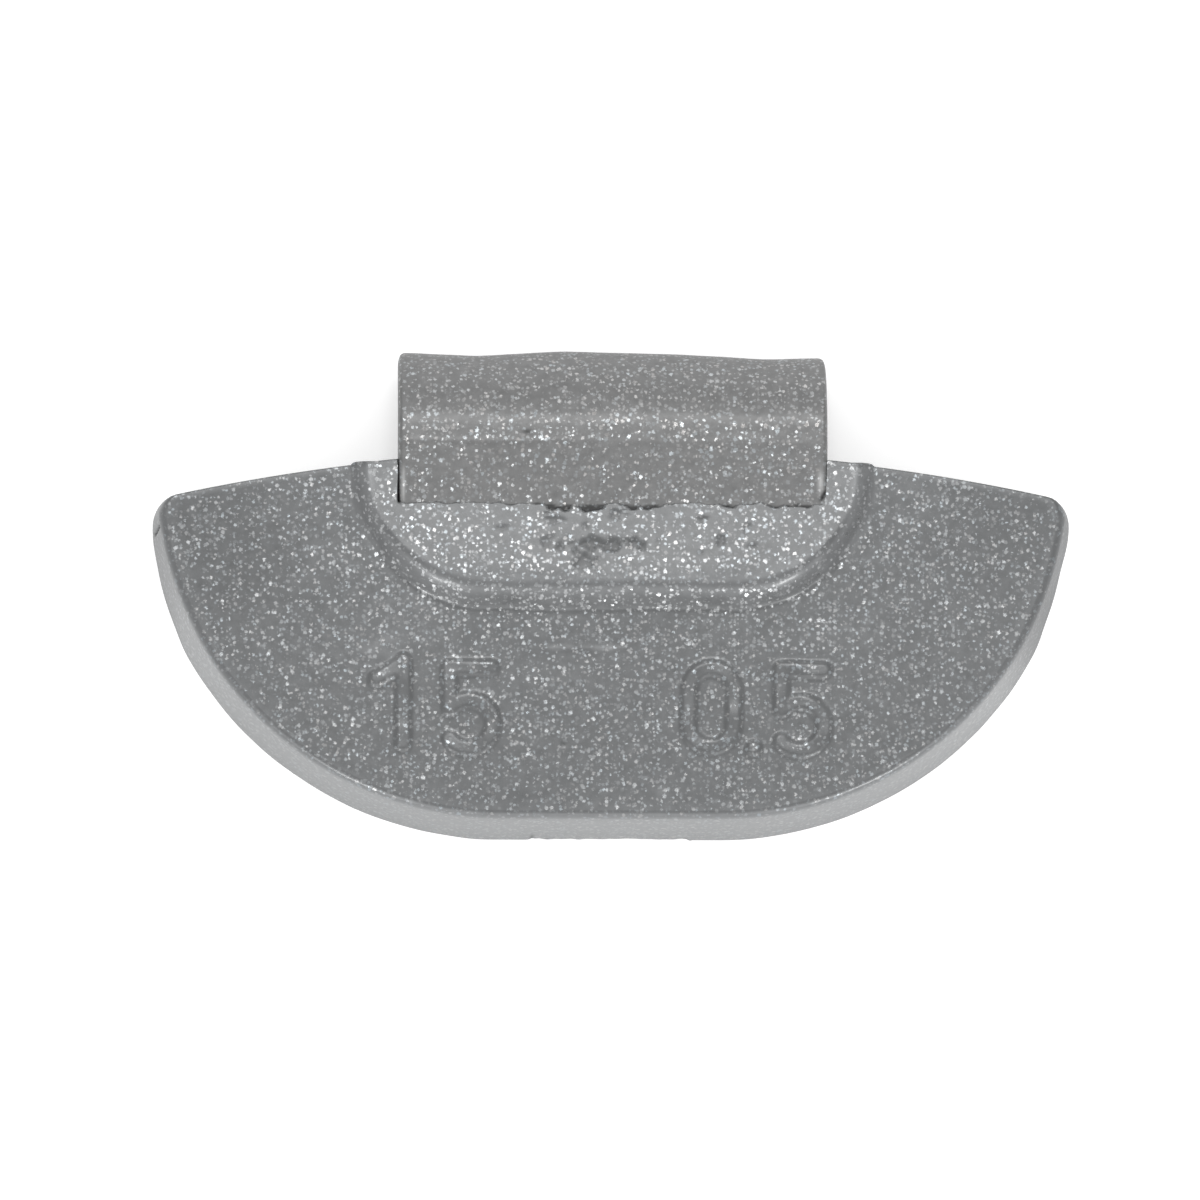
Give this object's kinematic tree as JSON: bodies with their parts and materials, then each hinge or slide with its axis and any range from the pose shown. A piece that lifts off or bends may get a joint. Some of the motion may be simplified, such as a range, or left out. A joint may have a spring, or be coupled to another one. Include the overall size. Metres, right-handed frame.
{
  "type": "wheel balance weight",
  "caption": "Clip-on wheel balance weight: a flat cast body with a curved top edge and round sides, and a bent spring clip set in a raised pad that grips the lip of a rim.",
  "frame": {"origin": "on the plane of the flat back, under the middle of the whole weight's box", "axes": "+X across the weight, +Y from the bottom edge towards the clip, +Z out of the front face"},
  "size_m": [0.0408, 0.0217, 0.0048],
  "materials": {
    "body_coating": "silver metallic-flake coating over die-cast zinc",
    "clip_coating": "silver metallic-flake coating over bent spring steel"
  },
  "bodies": {
    "root": {"cast_body": "body_coating", "spring_clip": "clip_coating"}
  },
  "joints": []
}
